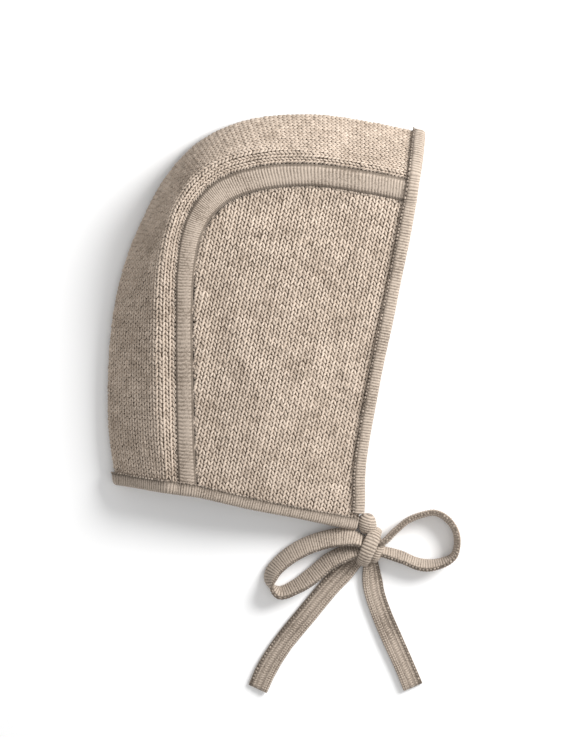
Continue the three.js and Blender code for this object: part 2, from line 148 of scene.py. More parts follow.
RIGHT_TAIL = np.array([
    [46.4, -109.4, 2.4, -0.98, 0.05],
    [46.8, -114.0, 1.7, -0.98, -0.05],
    [48.0, -121.0, 1.5, -0.98, -0.16],
    [51.5, -131.2, 1.5, -0.93, -0.36],
    [56.3, -142.3, 1.5, -0.91, -0.40],
    [61.2, -153.2, 1.5, -0.91, -0.40],
    [65.2, -162.8, 1.5, -0.92, -0.38],
]) * ROUTE_UNITS


# ------------------------------------------------------------------ curves and surfaces
def unit(vectors):
    return vectors / np.maximum(np.linalg.norm(vectors, axis=-1, keepdims=True), 1e-12)


def smooth(low, high, x):
    t = np.clip((x - low) / (high - low), 0, 1)
    return t * t * (3 - 2 * t)


class Curve:
    """A smooth line through points. Even curves give each span the same weight; the others
    give it by its length, which keeps tight bends round."""

    def __init__(self, points, even=False, loose_ends=True):
        points = np.asarray(points, float)
        first, last = points[0], points[-1]
        if loose_ends:
            first, last = 2 * points[0] - points[1], 2 * points[-1] - points[-2]
        self.points = np.vstack([first, points, last])
        self.even = even
        self.step = np.sqrt(np.maximum(np.linalg.norm(np.diff(self.points, axis=0), axis=1), 1e-9))
        dense = self.at(np.linspace(0, 1, 401))
        runs = np.linalg.norm(np.diff(dense, axis=0), axis=1)
        self.run = np.concatenate([[0], np.cumsum(runs)])
        self.length = self.run[-1]

    def at(self, share):
        spans = len(self.points) - 3
        x = np.clip(np.asarray(share, float), 0, 1) * spans
        i = np.minimum(x.astype(int), spans - 1)
        w = (x - i)[..., None]
        p0, p1, p2, p3 = (self.points[i + k] for k in range(4))
        start, end = (p2 - p0) / 2, (p3 - p1) / 2
        if not self.even:
            d0, d1, d2 = (self.step[i + k][..., None] for k in range(3))
            start = d1 * ((p1 - p0) / d0 - (p2 - p0) / (d0 + d1) + (p2 - p1) / d1)
            end = d1 * ((p2 - p1) / d1 - (p3 - p1) / (d1 + d2) + (p3 - p2) / d2)
        return (
            p1 * (2 * w**3 - 3 * w**2 + 1) + start * (w**3 - 2 * w**2 + w)
            + p2 * (3 * w**2 - 2 * w**3) + end * (w**3 - w**2)
        )

    def share_at(self, length_share):
        """The share of the spans at a share of the length."""
        return np.interp(np.asarray(length_share) * self.length, self.run, np.linspace(0, 1, 401))

    def along(self, length_share):
        return self.at(self.share_at(length_share))


class Surface:
    """A smooth sheet sampled on an even grid. It gives points on it, or at a height over it."""

    def __init__(self, points, flip=False):
        self.points = points
        across, along = np.gradient(points, axis=0), np.gradient(points, axis=1)
        self.normals = unit(np.cross(across, along)) * (-1 if flip else 1)

    def at(self, a, b, height=0.0):
        rows, columns = self.points.shape[:2]
        x, y = np.clip(a, 0, 1) * (rows - 1), np.clip(b, 0, 1) * (columns - 1)
        i, j = np.minimum(x.astype(int), rows - 2), np.minimum(y.astype(int), columns - 2)
        u, v = (x - i)[..., None], (y - j)[..., None]

        def blend(grid):
            near = grid[i, j] * (1 - v) + grid[i, j + 1] * v
            far = grid[i + 1, j] * (1 - v) + grid[i + 1, j + 1] * v
            return near * (1 - u) + far * u

        return blend(self.points) + unit(blend(self.normals)) * np.asarray(height)[..., None]


def grid_of(rows, columns, point_at):
    a, b = np.meshgrid(np.linspace(0, 1, rows + 1), np.linspace(0, 1, columns + 1), indexing="ij")
    return point_at(a, b)


SECTION_LINE = Curve(SECTIONS, even=True)


def section_at(s):
    """The section at a share s of the way along the seam."""
    row = SECTION_LINE.at(s)
    edge, seam = row[..., 0:2], row[..., 2:4]
    inward = unit(seam - edge)
    fold = edge + inward * (WALL / 2)
    return SimpleNamespace(
        fold=fold, inward=inward,
        reach=np.linalg.norm(seam - fold, axis=-1),
        far_reach=FAR_REACH - CROWN_TUCK * np.sin(np.pi * np.asarray(s)) ** 4,
        strip=row[..., 4], top=row[..., 5], seam_height=row[..., 5] - row[..., 6],
        band=row[..., 7], fall=row[..., 8],
    )


def on_section(section, inward_of_fold, height):
    plan = section.fold + section.inward * np.asarray(inward_of_fold)[..., None]
    return np.concatenate([plan, np.broadcast_to(np.asarray(height)[..., None], plan[..., :1].shape)], -1)


def with_height(plan, height):
    return np.concatenate([plan[..., :2], np.asarray(height)[..., None]], -1)


def near_band_point(s, across):
    section = section_at(s)
    share = across / section.band
    height = section.seam_height - section.fall * share**2 + BAND_CROWN * np.sin(np.pi * share)
    return on_section(section, section.reach + across, height)


def near_inner(s):
    return near_band_point(s, section_at(s).band + GAP / 2)


def far_inner(s):
    section = section_at(s)
    return on_section(section, section.far_reach + FAR_BAND + GAP / 2, WALL / 2)


def cut_edges(inner, corner_shift):
    corner = CORNER[:2] + [corner_shift, 0]
    face = Curve(np.vstack([corner, FACE_EDGE[::-1], inner(np.array(0.0))[:2]]))
    neck = Curve(np.vstack([inner(np.array(1.0))[:2], NECK_EDGE, corner]))
    return SimpleNamespace(inner=inner, face=face, neck=neck)


NEAR_CUT = cut_edges(near_inner, 0)
FAR_CUT = cut_edges(far_inner, FAR_CORNER_SHIFT)
EVEN = np.linspace(0, 1, 61)[:, None]


def straight(start, end):
    return start + (end - start) * EVEN


FAR_EDGE_SAMPLES = np.vstack([
    FAR_CUT.face.along(EVEN[:, 0]),
    FAR_CUT.neck.along(EVEN[:, 0]),
    straight(section_at(np.array(0.0)).fold, far_inner(np.array(0.0))[:2]),
    straight(section_at(np.array(1.0)).fold, far_inner(np.array(1.0))[:2]),
])
NEAR_SEAM_SAMPLES = near_inner(np.linspace(0, 1, 241))[:, :2]


def plan_distance(samples, points):
    flat = points[..., :2].reshape(-1, 1, 2)
    nearest = [np.linalg.norm(part - samples, axis=2).min(1) for part in np.array_split(flat, 24)]
    return np.concatenate(nearest).reshape(points.shape[:-1])


def lifted(points):
    """The far layer rises near a bound edge, because the binding is thicker than the cloth."""
    low = 1 - np.clip((points[..., 2] - WALL / 2) / (2 * FOLD_RADIUS), 0, 1)
    near = 1 - smooth(LIFT_FROM, LIFT_TO, plan_distance(FAR_EDGE_SAMPLES, points))
    return points + np.stack([0 * near, 0 * near, EDGE_LIFT * near * low], -1)


def centre_profile(s, near_shares, far_shares):
    """Points of one section: from the seam over the ridge to the fold, then under and back."""
    section = section_at(np.array(s))
    hub = np.array([section.reach - FOLD_RADIUS, WALL / 2 + FOLD_RADIUS])
    ridge = np.array([section.strip, section.top])
    to_ridge = ridge - hub
    tangent = math.atan2(to_ridge[1], to_ridge[0]) - math.acos(FOLD_RADIUS / np.linalg.norm(to_ridge))

    def toward(angle):
        return np.array([math.cos(angle), math.sin(angle)])

    def arc(angle):
        return hub + toward(angle) * FOLD_RADIUS

    def slope(share):
        swell = SLOPE_SWELL * math.sin(math.pi * share)
        return ridge + (arc(tangent) - ridge) * share + toward(tangent) * swell

    height = section.seam_height
    start = [GAP / 2, height]
    rise = [section.strip * 0.5, height + (section.top - height) * 0.65]
    back = section.reach - section.far_reach
    near = Curve(
        [start, rise, ridge, slope(0.3), slope(0.65), arc(tangent), arc(tangent / 2), arc(0)],
        even=True, loose_ends=False,
    )
    under = hub[0] + (back - hub[0]) * 0.4
    far = Curve(
        [arc(0), arc(-math.pi / 4), arc(-math.pi / 2), [under, WALL / 2], [back + GAP / 2, WALL / 2]],
        even=True, loose_ends=False,
    )
    flat = np.vstack([near.along(near_shares), far.along(far_shares)[1:]])
    return on_section(section, section.reach - flat[:, 0], flat[:, 1])


# The centre panel's middle line sets the even spacing of its courses.
MIDDLE_LINE = Curve(0.5 * (SECTIONS[:, 0:2] + SECTIONS[:, 2:4]), even=True)
CENTRE_HALF, CENTRE_LENGTH = 40, 300


def centre_surface():
    shares = np.linspace(0, 1, CENTRE_HALF + 1)
    places = MIDDLE_LINE.share_at(np.linspace(0, 1, CENTRE_LENGTH + 1))
    rows = np.stack([centre_profile(s, shares, shares) for s in places], 1)
    return Surface(lifted(rows))


def side_points(cut, corner_height, inner_height, u, v):
    """Four-sided patch: u from the back seam to the face edge, v from the neck edge to the top."""
    at_top = CROWN_SHARE * (1 - u)
    at_back = 1 + (CROWN_SHARE - 1) * v
    rise = np.sin(v * np.pi / 2)
    fall = np.sin((1 - u) * np.pi / 2)
    ends = inner_height(np.array([0.0, 1.0]))
    top = with_height(cut.inner(at_top), inner_height(at_top))
    back = with_height(cut.inner(at_back), inner_height(at_back))
    face = with_height(cut.face.along(v), corner_height + (ends[0] - corner_height) * rise)
    neck = with_height(cut.neck.along(u), corner_height + (ends[1] - corner_height) * fall)
    low_back, high_back = cut.inner(np.array(1.0)), cut.inner(np.array(CROWN_SHARE))
    low_face, high_face = np.append(cut.face.at(0.0), corner_height), cut.inner(np.array(0.0))
    u, v = u[..., None], v[..., None]
    return (
        neck * (1 - v) + top * v + back * (1 - u) + face * u
        - low_back * (1 - u) * (1 - v) - low_face * u * (1 - v)
        - high_face * u * v - high_back * (1 - u) * v
    )


def near_side_points(u, v):
    points = side_points(NEAR_CUT, CORNER[2], lambda s: near_inner(s)[..., 2], u, v)
    sink = smooth(0, SINK_WIDTH, plan_distance(NEAR_SEAM_SAMPLES, points))
    inside = np.sin(np.pi * u) * np.sin(np.pi * v**SWELL_LOWNESS)
    free = np.minimum(1, 4 * (1 - u)) * np.minimum(1, 4 * v)
    points[..., 2] += PANEL_SWELL * inside - SEAM_SINK * sink * free * (1 - 0.6 * inside)
    return points


def far_side_points(u, v):
    return lifted(side_points(FAR_CUT, WALL / 2, lambda s: np.full_like(s, WALL / 2), u, v))


# Cells of the sampled surfaces, across and along
SIDE_CELLS, FAR_SIDE_CELLS = 110, 60
NEAR_BAND_CELLS, FAR_BAND_CELLS = (12, 300), (8, 160)
NEAR_SIDE = Surface(grid_of(SIDE_CELLS, SIDE_CELLS, near_side_points))
FAR_SIDE = Surface(grid_of(FAR_SIDE_CELLS, FAR_SIDE_CELLS, far_side_points), flip=True)
CENTRE = centre_surface()
NEAR_BAND = Surface(grid_of(*NEAR_BAND_CELLS, lambda q, s: near_band_point(
    s, GAP / 2 + q * (section_at(s).band - GAP))), flip=True)
FAR_BAND_SHEET = Surface(grid_of(*FAR_BAND_CELLS, lambda q, s: lifted(on_section(
    section_at(s), section_at(s).far_reach + GAP / 2 + q * (FAR_BAND - GAP), WALL / 2 + 0 * s))))


# ------------------------------------------------------------------ sizes and colours to change
class BonnetSizes(bpy.types.PropertyGroup):
    wale: bpy.props.FloatProperty(
        name="Stitch width", description="Width of a stitch of the panels",
        default=2.86 * MM, unit="LENGTH")
    course: bpy.props.FloatProperty(
        name="Stitch height", description="Height of a stitch of the panels",
        default=1.90 * MM, unit="LENGTH")
    lean: bpy.props.FloatProperty(
        name="Stitch lean", description="Turn of the side panel's stitch columns from upright",
        default=math.radians(12.7), subtype="ANGLE")
    yarn: bpy.props.FloatProperty(
        name="Yarn width", description="Width of the panels' yarn", default=1.24 * MM, unit="LENGTH")
    rib: bpy.props.FloatProperty(
        name="Far rib spacing", description="Spacing of the ribs across the far seam band",
        default=2.4 * MM, unit="LENGTH")
    centre_wales: bpy.props.IntProperty(
        name="Centre stitches across", description="Stitches from the seam to the fold", default=13)
    centre_courses: bpy.props.IntProperty(
        name="Centre courses", description="Courses from the forehead to the nape", default=134)


class BonnetColours(bpy.types.PropertyGroup):
    light: bpy.props.FloatVectorProperty(
        name="Light fibres", description="Colour of the yarn's light fibres",
        default=(0.630, 0.524, 0.430), subtype="COLOR", size=3)
    dark: bpy.props.FloatVectorProperty(
        name="Dark fibres", description="Colour of the yarn's dark fibres",
        default=(0.345, 0.27, 0.207), subtype="COLOR", size=3)
    # painted shade: a dark colour for the cloth between the stitches, in place of the shade in the holes
    # there
    gap_shade: bpy.props.FloatVectorProperty(
        name="Between the stitches", description="Colour of the cloth deep between the stitches",
        default=(0.16, 0.12, 0.088), subtype="COLOR", size=3)
    floor: bpy.props.FloatVectorProperty(
        name="Floor", description="Colour of the plain floor",
        default=(0.93, 0.93, 0.93), subtype="COLOR", size=3)


# ------------------------------------------------------------------ materials
class Wire:
    """A shader socket with arithmetic. An expression on wires adds the Math nodes it needs."""

    def __init__(self, shader, socket):
        self.shader, self.socket = shader, socket

    def maths(self, operation, first, second):
        return self.shader.node("ShaderNodeMath", {"operation": operation}, {0: first, 1: second})

    def __add__(self, other):
        return self.maths("ADD", self, other)

    def __sub__(self, other):
        return self.maths("SUBTRACT", self, other)

    def __rsub__(self, other):
        return self.maths("SUBTRACT", other, self)

    def __mul__(self, other):
        return self.maths("MULTIPLY", self, other)

    __radd__, __rmul__ = __add__, __mul__


class Shader:
    """A material whose nodes are added one by one."""

    def __init__(self, name):
        self.material = bpy.data.materials.new(name)
        self.material.use_nodes = True
        self.tree = self.material.node_tree
        self.tree.nodes.clear()

    def node(self, kind, settings=None, sockets=None, output=0):
        made = self.tree.nodes.new(kind)
        for name, value in (settings or {}).items():
            setattr(made, name, value)
        for name, value in (sockets or {}).items():
            if isinstance(value, Wire):
                self.tree.links.new(value.socket, made.inputs[name])
            else:
                made.inputs[name].default_value = value
        return Wire(self, made.outputs[output])

    def noise(self, place, spacing, detail=2.0, rough=0.55):
        sockets = {"Vector": place, "Scale": 1 / spacing, "Detail": detail, "Roughness": rough}
        return self.node("ShaderNodeTexNoise", None, sockets)

    def range(self, value, low, high, to_low=0.0, to_high=1.0):
        sockets = {"Value": value, "From Min": low, "From Max": high, "To Min": to_low, "To Max": to_high}
        return self.node("ShaderNodeMapRange", {"clamp": True}, sockets)

    def mix(self, share, first, second):
        sockets = {"Factor": share, 6: first, 7: second}
        return self.node("ShaderNodeMix", {"data_type": "RGBA"}, sockets, 2)

    def finish(self, sockets):
        shown = self.node("ShaderNodeBsdfPrincipled", None, sockets)
        made = self.tree.nodes.new("ShaderNodeOutputMaterial")
        self.tree.links.new(shown.socket, made.inputs["Surface"])
        return self.material


def opaque(colour, share=1.0):
    return (*[channel * share for channel in colour], 1.0)


def yarn(name, light, dark, fleck_share, fibre, groove_shade, spread):
    """Heathered wool: light and dark fibres, soft patches, and a tone of its own in each stitch. Where
    the tone is low, painted shade darkens the yarn, which on the ribbed pieces falls in their grooves.
    """
    shader = Shader(name)
    place = shader.node("ShaderNodeTexCoord", output="Object")
    fibres = shader.noise(place, fibre, 3.0, 0.65)
    patches = shader.noise(place, 14 * MM, 1.0)
    flecks = shader.noise(place, 1.5 * MM, 2.0)
    hair = shader.noise(place, 0.18 * MM, 2.0)
    tone_and_shade = shader.node("ShaderNodeAttribute", {"attribute_name": "tone_and_shade"}, output="Fac")
    share = 0.55 * fibres + 0.2 * patches + 0.25 * hair + 0.12 * tone_and_shade
    base = shader.mix(shader.range(share, 0.535 - spread, 0.535 + spread), opaque(dark), opaque(light))
    # painted shade: a low tone darkens the yarn towards a deep brown, as in the shade of a groove
    shade = shader.range(tone_and_shade, 0.0, 1.0, groove_shade, 0.0)
    base = shader.mix(shade, base, opaque(dark, 0.45))
    brown = shader.range(flecks, 0.60, 0.74, 0.0, fleck_share)
    coloured = shader.mix(brown, base, opaque(dark, 0.62))
    bump = shader.node("ShaderNodeBump", None, {
        "Strength": 0.55, "Distance": 0.12 * MM, "Height": 0.6 * fibres + 0.4 * hair})
    return shader.finish({
        "Base Color": coloured,
        "Roughness": shader.range(fibres, 0.3, 0.7, 0.82, 0.97),
        "Specular IOR Level": 0.25,
        "Sheen Weight": 0.12,
        "Sheen Roughness": 0.6,
        "Normal": bump,
    })


def gap_shade_cloth(name, colour):
    """The cloth deep between the stitches: the same yarn, in the shade of its stitches."""
    shader = Shader(name)
    place = shader.node("ShaderNodeTexCoord", output="Object")
    fibres = shader.noise(place, 0.9 * MM, 3.0)
    coloured = shader.mix(fibres, opaque(colour, 0.7), opaque(colour, 1.35))
    bump = shader.node("ShaderNodeBump", None, {
        "Strength": 0.6, "Distance": 0.3 * MM, "Height": fibres})
    return shader.finish({
        "Base Color": coloured,
        "Roughness": shader.range(fibres, 0.3, 0.7, 0.88, 0.98),
        "Specular IOR Level": 0.2,
        "Normal": bump,
    })


def matt_floor(name, colour):
    shader = Shader(name)
    place = shader.node("ShaderNodeTexCoord", output="Object")
    grain = shader.noise(place, 30 * MM, 2.0)
    return shader.finish({
        "Base Color": shader.mix(grain, opaque(colour, 0.995), opaque(colour)),
        "Roughness": 0.9,
        "Specular IOR Level": 0.1,
    })


YARNS = {
    # shares of the light and dark colours; share of flecks, size of fibres, painted groove shade, spread
    "panel_yarn": (1.0, 1.0, 0.16, 0.5 * MM, 0.12, 0.10),
    "centre_yarn": (1.0, 1.0, 0.20, 0.5 * MM, 0.12, 0.10),
    # painted shade: the bands, bindings and ties take darker shares of the same two colours, for their
    # ribbed faces turned from the light
    "band_yarn": (0.85, 0.70, 0.40, 0.7 * MM, 0.70, 0.06),
    "binding_yarn": (0.82, 0.62, 0.35, 0.7 * MM, 0.85, 0.06),
    "tie_yarn": (0.84, 0.58, 0.40, 0.6 * MM, 0.70, 0.05),
}


def finish_of(kind):
    """The material of a kind of cloth, made the first time that it is asked for."""
    known = bpy.data.materials.get(kind)
    if known:
        return known
    colours = bpy.context.scene.bonnet_colours
    if kind == "gap_shade":
        return gap_shade_cloth(kind, colours.gap_shade)
    if kind == "floor":
        return matt_floor(kind, colours.floor)
    light_share, dark_share, *grain = YARNS[kind]
    light = [channel * light_share for channel in colours.light]
    dark = [channel * dark_share for channel in colours.dark]
    return yarn(kind, light, dark, *grain)


# ------------------------------------------------------------------ mesh making
def on_floor(points):
    """The points, with any that lie under the floor brought up to it."""
    return np.maximum(points, [-1, -1, 0])


def coordinates(mesh):
    flat = np.zeros(len(mesh.vertices) * 3, np.float32)
    mesh.vertices.foreach_get("co", flat)
    return flat.reshape(-1, 3).astype(float)


def set_coordinates(mesh, points):
    mesh.vertices.foreach_set("co", np.ascontiguousarray(points, np.float32).ravel())
    mesh.update()


def mesh_from(build, name="shape"):
    """A mesh from a function that fills a bmesh."""
    bm = bmesh.new()
    build(bm)
    mesh = bpy.data.meshes.new(name)
    bm.to_mesh(mesh)
    bm.free()
    return mesh


def reshape(mesh, change):
    """Puts a mesh through a function that works on a bmesh."""
    bm = bmesh.new()
    bm.from_mesh(mesh)
    change(bm)
    bm.to_mesh(mesh)
    bm.free()
    return mesh


def add_piece(name, mesh, kind):
    """Links a finished mesh as a piece that rides on the bonnet's one body."""
    mesh.name = name
    mesh.materials.clear()
    mesh.materials.append(finish_of(kind))
    mesh.polygons.foreach_set("use_smooth", [True] * len(mesh.polygons))
    piece = bpy.data.objects.new(name, mesh)
    bpy.context.scene.collection.objects.link(piece)
    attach(piece, "root")
    return piece


def set_tone_and_shade(mesh, values):
    layer = mesh.attributes.new("tone_and_shade", "FLOAT", "POINT")
    layer.data.foreach_set("value", np.ascontiguousarray(values, np.float32))


def applied(mesh, modifiers):
    """The mesh that a list of (type, settings) modifiers makes of a mesh."""
    holder = bpy.data.objects.new("holder", mesh)
    bpy.context.scene.collection.objects.link(holder)
    for number, (kind, settings) in enumerate(modifiers):
        modifier = holder.modifiers.new(f"{kind}{number}", kind)
        for key, value in settings.items():
            setattr(modifier, key, value)
    seen = holder.evaluated_get(bpy.context.evaluated_depsgraph_get())
    made = bpy.data.meshes.new_from_object(seen)
    bpy.data.objects.remove(holder)
    return made


def cloth_shell(cells_across, cells_along, place, thickness):
    """A sheet of cloth: a grid laid over a surface, then given its thickness inwards."""
    def build(bm):
        bmesh.ops.create_grid(bm, x_segments=cells_across, y_segments=cells_along, size=0.5)

    mesh = mesh_from(build)
    at = coordinates(mesh) + 0.5
    set_coordinates(mesh, place(at[:, 0], at[:, 1]))
    return applied(mesh, [("SOLIDIFY", {"thickness": thickness, "offset": -1.0})])


def rolled_tube(steps, sides, place):
    """A closed tube: a grid rolled up so that its long edges meet, with its two ends filled.
    place(around, along) gives its points and the tone of each, with painted shade in its grooves."""
    def build(bm):
        bmesh.ops.create_grid(bm, x_segments=sides, y_segments=steps, size=0.5)

    mesh = mesh_from(build)
    at = coordinates(mesh) + 0.5
    points, tone_and_shade = place(at[:, 0], at[:, 1])
    set_coordinates(mesh, points)
    set_tone_and_shade(mesh, tone_and_shade)

    def close(bm):
        bmesh.ops.remove_doubles(bm, verts=bm.verts, dist=0.002 * MM)
        open_edges = [edge for edge in bm.edges if edge.is_boundary]
        bmesh.ops.holes_fill(bm, edges=open_edges, sides=0)
        bmesh.ops.recalc_face_normals(bm, faces=bm.faces)

    return reshape(mesh, close)


def stitch_mesh(wale, course, yarn_width, sides=6, rings=4):
    """One stitch: two slanted legs of yarn that meet at the top."""
    lean = math.radians(21)
    size = (yarn_width, course * 1.62, yarn_width * 0.86)

    def build(bm):
        for side in (-1, 1):
            stretch = Matrix.Diagonal((*size, 1.0))
            upright = Matrix.Rotation(math.radians(-90), 4, "X")
            turn = Matrix.Rotation(side * lean, 4, "Z") @ Matrix.Rotation(math.radians(-13), 4, "X")
            shift = Matrix.Translation((side * wale * 0.245, 0, 0))
            bmesh.ops.create_uvsphere(
                bm, u_segments=sides, v_segments=rings, radius=0.5,
                matrix=shift @ turn @ stretch @ upright, calc_uvs=False)

    return mesh_from(build)


def bead_mesh(length, width, height):
    """One small loop of a linked chain."""
    def build(bm):
        bmesh.ops.create_uvsphere(
            bm, u_segments=8, v_segments=5, radius=0.5,
            matrix=Matrix.Diagonal((width, length, height, 1.0)))

    return mesh_from(build)


def repeated(mesh, columns, rows, wale, course):
    """The mesh repeated in columns and rows. The copies follow one another in its vertices."""
    return applied(mesh, [
        ("ARRAY", {"count": count, "use_relative_offset": False,
                   "use_constant_offset": True, "constant_offset_displace": offset})
        for count, offset in ((columns, (wale, 0, 0)), (rows, (0, course, 0)))
    ])


def knitted(
        unit_mesh, columns, rows, wale, course, place, inside=None, uneven=0.07 * MM, seed=SEED):
    """A field of stitches laid on a surface. place(x, y, height) gives points for the flat
    field's coordinates, and inside(x, y) says which stitches stay."""
    size = len(unit_mesh.vertices)
    mesh = repeated(unit_mesh, columns, rows, wale, course)
    flat = coordinates(mesh)
    count = columns * rows
    column, row = np.tile(np.arange(columns), rows), np.repeat(np.arange(rows), columns)
    centre_x, centre_y = column * wale, row * course
    keep = np.ones(count, bool) if inside is None else inside(centre_x, centre_y)
    random = np.random.default_rng(seed)
    shift = random.normal(0, uneven, (count, 3)) * [1, 1, 0.8]
    plump = 1 + random.normal(0, 0.05, count)
    tone_and_shade = random.normal(0.5, 0.2, count)
    stitches = flat.reshape(count, size, 3)
    middle = np.stack([centre_x, centre_y, 0 * centre_x], -1)[:, None]
    stitches = middle + (stitches - middle) * plump[:, None, None] + shift[:, None]
    points = np.zeros_like(stitches)
    chosen = stitches[keep].reshape(-1, 3)
    points[keep] = place(chosen[:, 0], chosen[:, 1], chosen[:, 2]).reshape(-1, size, 3)
    set_coordinates(mesh, points.reshape(-1, 3))
    set_tone_and_shade(mesh, np.repeat(tone_and_shade, size))
    if keep.all():
        return mesh

    def drop(bm):
        bm.verts.ensure_lookup_table()
        gone = np.flatnonzero(~np.repeat(keep, size))
        bmesh.ops.delete(bm, geom=[bm.verts[i] for i in gone], context="VERTS")

    return reshape(mesh, drop)


# ------------------------------------------------------------------ fine-gauge relief
def ribs(distance, spacing):
    """Round ribs with narrow grooves, from 0 in a groove to 1."""
    return np.abs(np.sin(np.pi * distance / spacing)) ** 0.7


def fine_knit(across, along, wale=1.3 * MM, course=1.15 * MM):
    """The relief of a fine knit: small slanted stitches in columns, from 0 to 1."""
    x = across / wale
    cell = 2 * np.abs(x - np.round(x))
    wave = 0.5 + 0.5 * np.cos(2 * np.pi * (along / course - 0.55 * cell))
    return wave * (1 - cell**3) + 0.25 * (1 - cell**2)


def rounded_bar(around, width, thickness, power=0.45):
    """Section of a flat bar with round edges: places at shares of the way around it."""
    angle = 2 * np.pi * around
    x = np.sign(np.cos(angle)) * np.abs(np.cos(angle)) ** power
    y = np.sign(np.sin(angle)) * np.abs(np.sin(angle)) ** power
    return x * width / 2, y * thickness / 2


# ------------------------------------------------------------------ ties
def tape_frames(route, share, grip_end):
    """Middle point, direction across, face direction and width share along a tape's route."""
    line, lean = Curve(route[:, :3]), Curve(route[:, 3:] * MM)
    at = line.along(share)
    ahead = line.along(np.minimum(share + 0.002, 1)) - line.along(np.maximum(share - 0.002, 0))
    tangent = unit(ahead)
    leaning = lean.at(line.share_at(share)) / MM
    rise = np.sqrt(np.maximum(0, 1 - (leaning**2).sum(-1)))
    across = np.concatenate([leaning, rise[..., None]], -1)
    across = unit(across - tangent * (across * tangent).sum(-1, keepdims=True))
    face = np.cross(tangent, across)
    from_knot = share * line.length
    if grip_end:
        from_knot = np.minimum(from_knot, (1 - share) * line.length)
    width = TAPE.neck + (1 - TAPE.neck) * smooth(0, TAPE.neck_length, from_knot)
    return at, across, face, width, line.length


SEAM_INSET = 0.95 * MM        # of a tail's chain from the tape's edge
SEAM_WIDTH = 0.75 * MM        # of the painted shade of the holes beside a chain
TIP_ROUND = 1.1 * MM          # a free end thins to its seam over this length


def tape_mesh(route, grip_end, edge_side, up, sides=72, step=0.26 * MM):
    """A knitted tape. A loop is ribbed and has its chain on its edge. A tail is plain fine knit,
    closed by a seam at its free end, and has its chain on its face."""
    length = Curve(route[:, :3]).length
    steps = int(length / step)
    half = TAPE.width / 2

    def knit_of(x, distance):
        """The relief along the tape, and how much of its thickness is left."""
        if grip_end:
            return ribs(distance, 1.12 * MM), 1.0
        tip = np.sqrt(np.clip((length - distance) / TIP_ROUND, 0.02, 1))
        return fine_knit(x, distance, 1.05 * MM, 1.1 * MM), tip

    def hole_shade_of(x, y):
        """The painted shade beside the chain, from 0 to 1."""
        if grip_end:
            return np.exp(-(np.hypot(x - half, y) / SEAM_WIDTH) ** 2)
        by_seam = np.abs(x - edge_side * (half - SEAM_INSET))
        return np.exp(-(by_seam / SEAM_WIDTH) ** 2) * (np.sign(y) == np.sign(up))

    def place(around, along):
        at, across, face, width, _ = tape_frames(route, along, grip_end)
        x, y = rounded_bar(around, TAPE.width, TAPE.thickness - 0.5 * MM)
        distance = along * length
        edge = np.abs(2 * x / TAPE.width)
        knit, tip = knit_of(x, distance)
        y = (y + np.sign(y) * (0.34 * MM * knit + 0.12 * MM * (1 - edge**2))) * tip
        hole_shade = hole_shade_of(x, y)
        x = x * (width + 0.012 * np.sin(distance / (4.7 * MM)))
        points = on_floor(at + across * x[:, None] + face * y[:, None])
        # painted shade: the tone darkens in the knit's grooves and beside the chain
        return points, np.clip(knit, 0, 1) * (1 - hole_shade) - 0.5 * hole_shade

    return rolled_tube(steps, sides, place)


def tape_chain(route, grip_end, edge, up, spacing=1.5 * MM):
    """The row of linked loops along one edge of a tape."""
    length = Curve(route[:, :3]).length
    count = int(length / spacing) - 1

    def place(x, y, height):
        share = np.clip(y / length + 0.5 * spacing / length, 0, 1)
        at, across, face, width, _ = tape_frames(route, share, grip_end)
        half = TAPE.width / 2 * width
        if grip_end:
            out, side = half - 0.15 * MM + height, x
        else:
            out, side = half - SEAM_INSET + x, up * (TAPE.thickness / 2 - 0.12 * MM + height)
        return on_floor(at + across * (edge * out)[:, None] + face * side[:, None])

    bead = bead_mesh(1.1 * MM, 1.0 * MM, 0.8 * MM)
    return knitted(bead, 1, count, spacing, spacing, place, uneven=0.05 * MM)


HEART = np.array([45.6, -100.6, 5.6]) * MM    # in the middle of the bow's knot
HIDDEN_STRETCH = 5 * MM       # how far each tape goes on towards it, out of sight


def into_knot(route, both_ends):
    """The route with its held ends carried on towards the knot's heart."""
    def hidden(row):
        way = HEART - row[:3]
        return np.append(row[:3] + way * min(1, HIDDEN_STRETCH / np.linalg.norm(way)), row[3:])

    rows = [hidden(route[0]), route]
    if both_ends:
        rows.append(hidden(route[-1]))
    return np.vstack(rows)


TIES = (
    # name, route, held at both ends, edge with the chain, face with the chain
    ("bow_loop_left", into_knot(LEFT_LOOP, True), True, 1, 1),
    ("bow_loop_right", into_knot(RIGHT_LOOP, True), True, 1, 1),
    ("tie_tail_left", into_knot(LEFT_TAIL, False), False, -1, 1),
    ("tie_tail_right", into_knot(RIGHT_TAIL, False), False, -1, -1),
)


class BONNET_OT_ties(bpy.types.Operator):
    """Builds the bow's two loops and the ties' two free ends"""

    bl_idname = "bonnet.ties"
    bl_label = "Ties"

    def execute(self, context):
        for name, route, grip_end, edge, up in TIES:
            cloth, loops = tape_mesh(route, grip_end, edge, up), tape_chain(route, grip_end, edge, up)
            tape = add_piece(f"{name}_tape", cloth, "tie_yarn")
            chain = add_piece(f"{name}_chain", loops, "binding_yarn")
            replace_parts(tape, name)
            line = Curve(route[:, :3])
            line.along(np.linspace(0, 1, 60))
        return {"FINISHED"}


